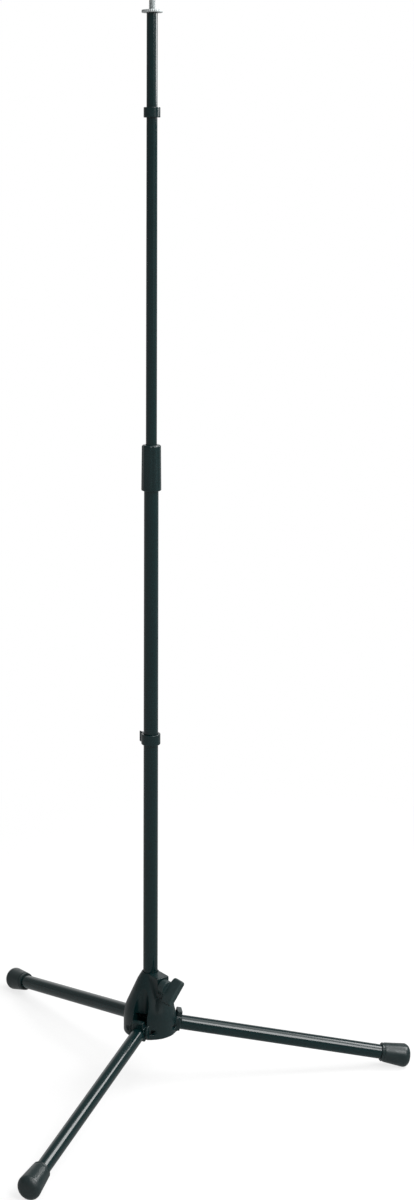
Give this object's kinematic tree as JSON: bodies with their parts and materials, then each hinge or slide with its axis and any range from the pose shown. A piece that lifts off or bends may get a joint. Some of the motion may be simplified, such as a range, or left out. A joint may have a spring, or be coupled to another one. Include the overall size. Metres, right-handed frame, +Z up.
{
  "type": "microphone stand",
  "caption": "Straight floor microphone stand: telescopic mast with a twist clutch, clamped in a cast base whose legs fold up, with a threaded stud on top and two springy cable clips.",
  "frame": {"origin": "on the floor, in the middle of the stand's footprint box, about 90 mm in front of the mast", "axes": "+Z up along the mast; +X along the first leg, so the other two legs point to 120 degrees either side"},
  "size_m": [0.5817, 0.6678, 1.5534],
  "materials": {
    "powder_coat": "near-black powder coat, smooth and half glossy, with long soft reflections along the tubes",
    "die_cast_black": "black paint on die casting, satin, with a very fine cast texture",
    "plated_steel": "zinc-plated steel, dull",
    "blackened_steel": "steel pins, blackened and satin, with dressed ends",
    "bright_steel": "bright nickel-plated steel, turned, with a cut thread on the stud and a knurled rim on the nut",
    "moulded_black": "black moulded nylon, satin",
    "clip_black": "black moulded plastic, smooth, with glossy edges",
    "foot_rubber": "black moulded rubber, dull on the sides and slightly shiny from handling on the round end",
    "nylon": "natural white nylon, matte"
  },
  "bodies": {
    "base": {"base_casting": "die_cast_black", "leg_pin_a": "blackened_steel", "leg_pin_b": "blackened_steel", "leg_pin_c": "blackened_steel", "pressure_pad": "nylon"},
    "wing_bolt": {"wing_bolt_head": "moulded_black", "wing_bolt_shank": "plated_steel"},
    "mast": {"lower_tube": "powder_coat", "mast_end_plug": "plated_steel", "clamp_plate": "plated_steel", "clamp_plate_screw": "plated_steel", "clutch_body": "moulded_black"},
    "clutch_sleeve": {"clutch_sleeve": "moulded_black"},
    "collet": {"clutch_collet": "nylon"},
    "upper_mast": {"upper_tube": "powder_coat", "top_plug": "plated_steel", "thread_stud": "bright_steel", "upper_tube_bushing": "moulded_black"},
    "lock_nut": {"stud_lock_nut": "bright_steel"},
    "upper_clip": {"upper_clip": "clip_black"},
    "lower_clip": {"lower_clip": "clip_black"},
    "leg_a": {"leg_root_a": "die_cast_black", "leg_tube_a": "powder_coat", "foot_cap_a": "foot_rubber"},
    "leg_b": {"leg_root_b": "die_cast_black", "leg_tube_b": "powder_coat", "foot_cap_b": "foot_rubber"},
    "leg_c": {"leg_root_c": "die_cast_black", "leg_tube_c": "powder_coat", "foot_cap_c": "foot_rubber"}
  },
  "joints": [
    {"name": "leg_a_fold", "type": "hinge", "parent": "base", "child": "leg_a", "pos_m": [-0.05794, 0, 0.0786], "axis": [0, -1, 0], "range_deg": [0, 100]},
    {"name": "leg_b_fold", "type": "hinge", "parent": "base", "child": "leg_b", "pos_m": [-0.10669, -0.02815, 0.0786], "axis": [-0.866, 0.5, 0], "range_deg": [0, 100]},
    {"name": "leg_c_fold", "type": "hinge", "parent": "base", "child": "leg_c", "pos_m": [-0.10669, 0.02815, 0.0786], "axis": [0.866, 0.5, 0], "range_deg": [0, 100]},
    {"name": "wing_bolt_turn", "type": "hinge", "parent": "base", "child": "wing_bolt", "pos_m": [-0.09044, 0, 0.1395], "axis": [0.5, -0.866, 0], "range_deg": [0, 360]},
    {"name": "mast_drop", "type": "slide", "parent": "base", "child": "mast", "axis": [0, 0, 1], "range_m": [-0.008, 0]},
    {"name": "clutch_sleeve_turn", "type": "hinge", "parent": "mast", "child": "clutch_sleeve", "pos_m": [-0.09044, 0, 0.88], "axis": [0, 0, 1], "range_deg": [0, 180]},
    {"name": "upper_mast_turn", "type": "hinge", "parent": "mast", "child": "collet", "pos_m": [-0.09044, 0, 0.88], "axis": [0, 0, 1], "continuous": true},
    {"name": "upper_mast_height", "type": "slide", "parent": "collet", "child": "upper_mast", "axis": [0, 0, 1], "range_m": [-0.468, 0.055]},
    {"name": "lock_nut_turn", "type": "hinge", "parent": "upper_mast", "child": "lock_nut", "pos_m": [-0.09044, 0, 1.5343], "axis": [0, 0, 1], "range_deg": [0, 360]},
    {"name": "upper_clip_slide", "type": "slide", "parent": "upper_mast", "child": "upper_clip", "axis": [0, 0, 1], "range_m": [0, 0.135]},
    {"name": "lower_clip_slide", "type": "slide", "parent": "mast", "child": "lower_clip", "axis": [0, 0, 1], "range_m": [-0.03, 0.33]}
  ]
}
